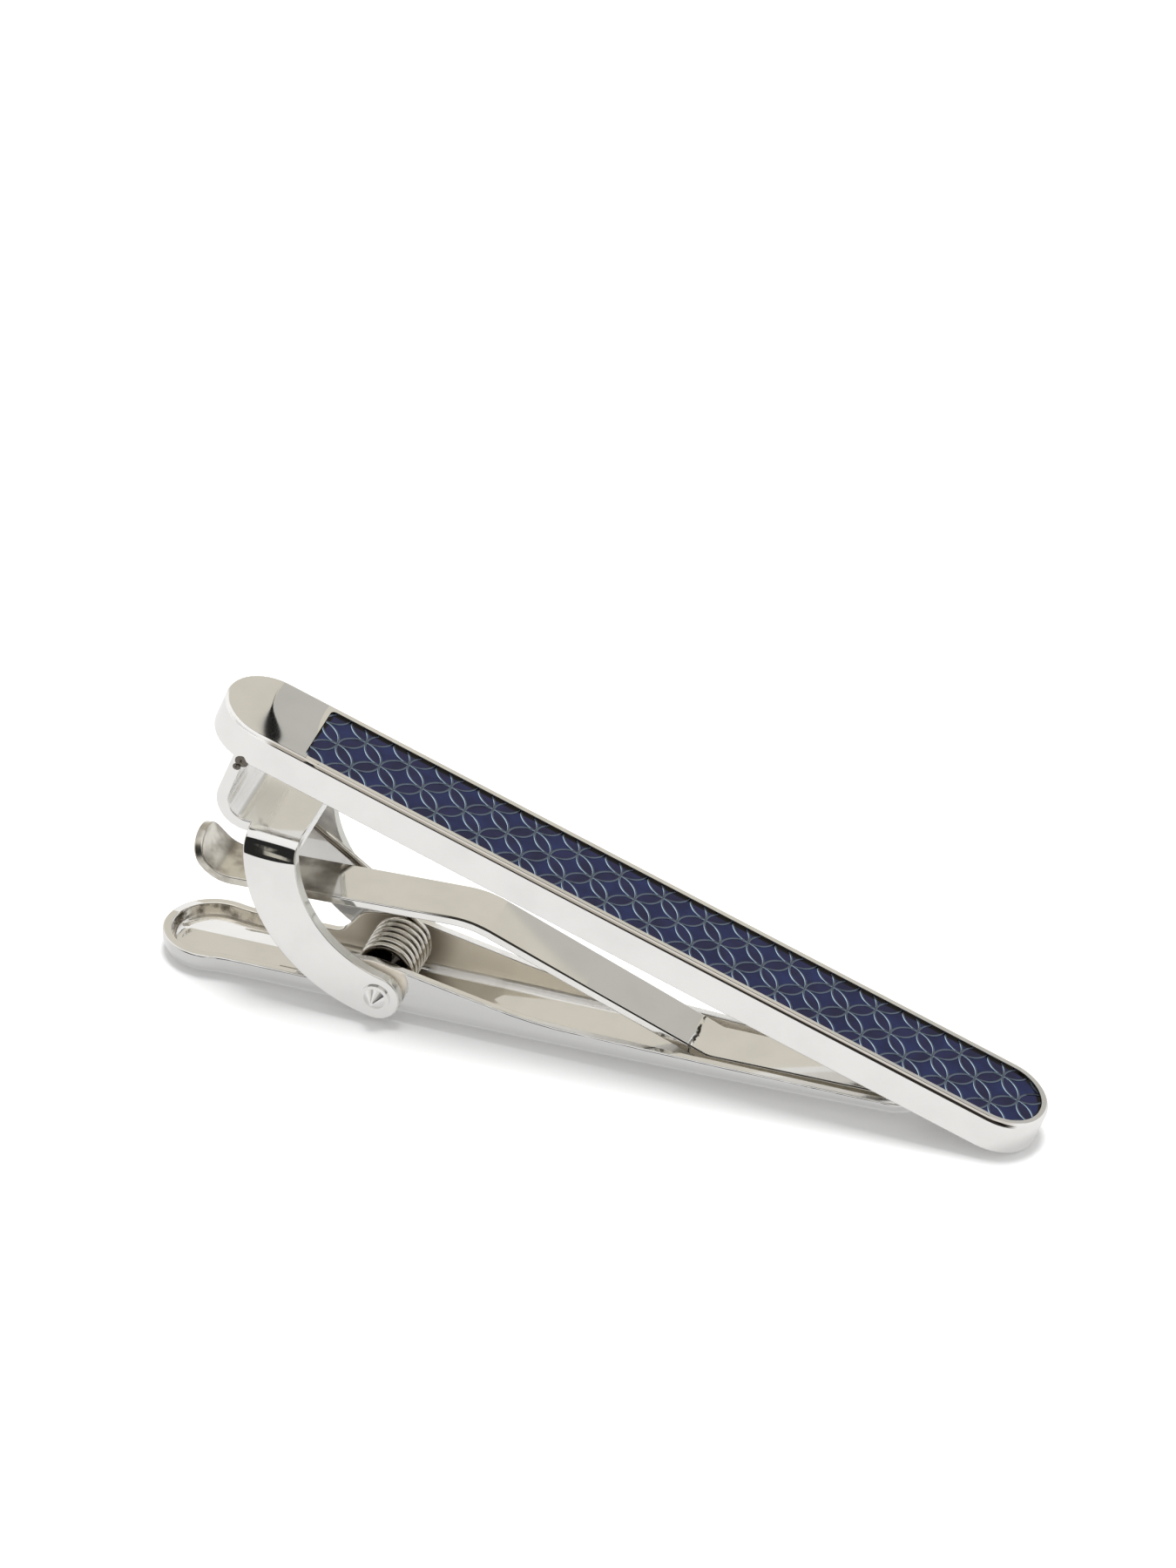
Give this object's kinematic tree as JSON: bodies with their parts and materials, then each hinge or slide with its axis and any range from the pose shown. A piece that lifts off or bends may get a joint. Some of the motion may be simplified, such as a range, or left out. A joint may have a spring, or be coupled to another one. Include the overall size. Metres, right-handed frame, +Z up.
{
  "type": "tie clip",
  "caption": "Tie clip: a slim polished bar with a blue enamel inlay of interlocking circles, and behind it a sprung jaw on a pin that pinches tie and shirt together.",
  "frame": {"origin": "centre of the bottom of the closed clip's bounding box, as it lies on a table on the jaw's heel and the bar's tip", "axes": "+X along the clip towards the tip where jaw and bar meet, +Y across it along the pivot pin, +Z up"},
  "size_m": [0.0584, 0.0096, 0.0202],
  "materials": {
    "polished_metal": "polished nickel plate",
    "pattern_metal": "stamped plate with raised lines, seen through the enamel",
    "enamel": "clear gloss enamel",
    "spring_wire": "bright drawn wire",
    "solder": "dull solder"
  },
  "bodies": {
    "bar": {"front_bar": "polished_metal", "pattern_plate": "pattern_metal", "enamel_coat": "enamel", "yoke": "polished_metal", "solder_beads": "solder", "pivot_pin": "polished_metal"},
    "jaw": {"lower_jaw": "polished_metal", "tongue": "polished_metal", "torsion_spring": "spring_wire"}
  },
  "joints": [
    {"name": "jaw_hinge", "type": "hinge", "parent": "bar", "child": "jaw", "pos_m": [-0.01374, 0, 0.00215], "axis": [0, 1, 0], "range_deg": [0, 12], "stiffness_Nm_per_rad": 0.0134, "springref_deg": -68.75, "deforming": ["torsion_spring"]}
  ]
}
